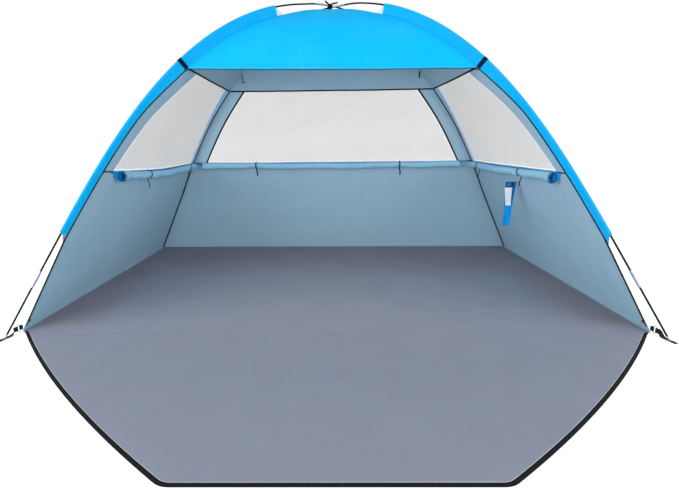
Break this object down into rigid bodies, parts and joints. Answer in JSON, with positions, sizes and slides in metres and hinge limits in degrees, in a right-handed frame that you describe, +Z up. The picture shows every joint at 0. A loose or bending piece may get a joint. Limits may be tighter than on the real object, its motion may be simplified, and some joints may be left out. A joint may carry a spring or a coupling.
{
  "type": "beach tent",
  "caption": "Low beach tent with an open front, net windows with rolled covers, a fold-out porch door and bent poles that cross over the roof.",
  "frame": {"origin": "on the ground under the middle of the door sill", "axes": "+X to the right along the sill seen from the front, +Y into the tent, +Z up"},
  "size_m": [2.486, 2.2111, 1.3163],
  "materials": {
    "black_elastic": "braided matte",
    "black_fibreglass": "smooth satin",
    "black_webbing": "woven webbing",
    "blue_cloth": "plain woven polyester, satin",
    "bright_steel": "bright",
    "cover_cloth": "silver-coated polyester, satin",
    "grey_floor": "coated woven sheet",
    "pale_net": "fine open net",
    "silvered_cloth": "silver-coated polyester, satin",
    "zip_tape": "woven tape"
  },
  "bodies": {
    "tent": {"back_left_corner_loop": "black_webbing", "back_left_foot_strap": "black_webbing", "back_left_ring": "bright_steel", "back_left_sleeve": "blue_cloth", "back_right_corner_loop": "black_webbing", "back_right_foot_strap": "black_webbing", "back_right_ring": "bright_steel", "back_right_sleeve": "blue_cloth", "back_wall_panel": "silvered_cloth", "back_window_net": "pale_net", "back_window_roll": "cover_cloth", "crossing_tie": "black_webbing", "doorway_zip": "zip_tape", "floor_sheet": "grey_floor", "front_left_corner_loop": "black_webbing", "front_left_foot_strap": "black_webbing", "front_left_ring": "bright_steel", "front_left_sleeve": "blue_cloth", "front_right_corner_loop": "black_webbing", "front_right_foot_strap": "black_webbing", "front_right_ring": "bright_steel", "front_right_sleeve": "blue_cloth", "left_wall_panel": "silvered_cloth", "left_window_net": "pale_net", "left_window_roll": "cover_cloth", "pole_left_back_tip": "bright_steel", "pole_left_front_tip": "bright_steel", "pole_left_section_1": "black_fibreglass", "pole_left_section_2": "black_fibreglass", "pole_left_section_3": "black_fibreglass", "pole_left_section_4": "black_fibreglass", "pole_left_section_5": "black_fibreglass", "pole_left_section_6": "black_fibreglass", "pole_left_section_7": "black_fibreglass", "pole_left_section_8": "black_fibreglass", "pole_left_shock_cord": "black_elastic", "pole_right_back_tip": "bright_steel", "pole_right_front_tip": "bright_steel", "pole_right_section_1": "black_fibreglass", "pole_right_section_2": "black_fibreglass", "pole_right_section_3": "black_fibreglass", "pole_right_section_4": "black_fibreglass", "pole_right_section_5": "black_fibreglass", "pole_right_section_6": "black_fibreglass", "pole_right_section_7": "black_fibreglass", "pole_right_section_8": "black_fibreglass", "pole_right_shock_cord": "black_elastic", "right_wall_panel": "silvered_cloth", "right_window_net": "pale_net", "right_window_roll": "cover_cloth", "roof_front_panel": "blue_cloth"},
    "door": {"door_sheet": "grey_floor", "door_zip": "zip_tape"},
    "left_slider": {"left_zip_slider": "zip_tape"},
    "left_tab": {"left_zip_tab": "zip_tape"},
    "right_slider": {"right_zip_slider": "zip_tape"},
    "right_tab": {"right_zip_tab": "zip_tape"},
    "strip": {"hanging_strip": "blue_cloth"},
    "hook": {"lamp_hook": "black_webbing"},
    "lamp_strap": {"lamp_strap": "black_webbing"}
  },
  "joints": [
    {"name": "door_fold", "type": "hinge", "parent": "tent", "child": "door", "pos_m": [0, -0.00615, 0.0015], "axis": [-1, 0, 0], "range_deg": [0, 106]},
    {"name": "left_zip_slide", "type": "slide", "parent": "tent", "child": "left_slider", "axis": [0.4928, 0.1471, 0.8576], "range_m": [-0.0127, 0.3424]},
    {"name": "left_tab_swing", "type": "hinge", "parent": "left_slider", "child": "left_tab", "pos_m": [-1.17815, 0.00323, 0.04069], "axis": [-0.8701, 0.0833, 0.4857], "range_deg": [0, 165]},
    {"name": "right_zip_slide", "type": "slide", "parent": "tent", "child": "right_slider", "axis": [-0.4928, 0.1471, 0.8576], "range_m": [-0.0127, 0.3424]},
    {"name": "right_tab_swing", "type": "hinge", "parent": "right_slider", "child": "right_tab", "pos_m": [1.17815, 0.00323, 0.04069], "axis": [-0.8701, -0.0833, -0.4857], "range_deg": [0, 165]},
    {"name": "strip_swing", "type": "hinge", "parent": "tent", "child": "strip", "pos_m": [0.88496, 0.58303, 0.50355], "axis": [-1, 0, 0], "range_deg": [-15, 60]},
    {"name": "hook_swing", "type": "hinge", "parent": "tent", "child": "hook", "pos_m": [-0.47349, 0.96127, 1.045], "axis": [0, 1, 0], "range_deg": [-20, 20]},
    {"name": "lamp_strap_swing", "type": "hinge", "parent": "tent", "child": "lamp_strap", "pos_m": [0.47439, 0.96217, 1.045], "axis": [0.7071, 0.7071, 0], "range_deg": [-30, 30]}
  ]
}
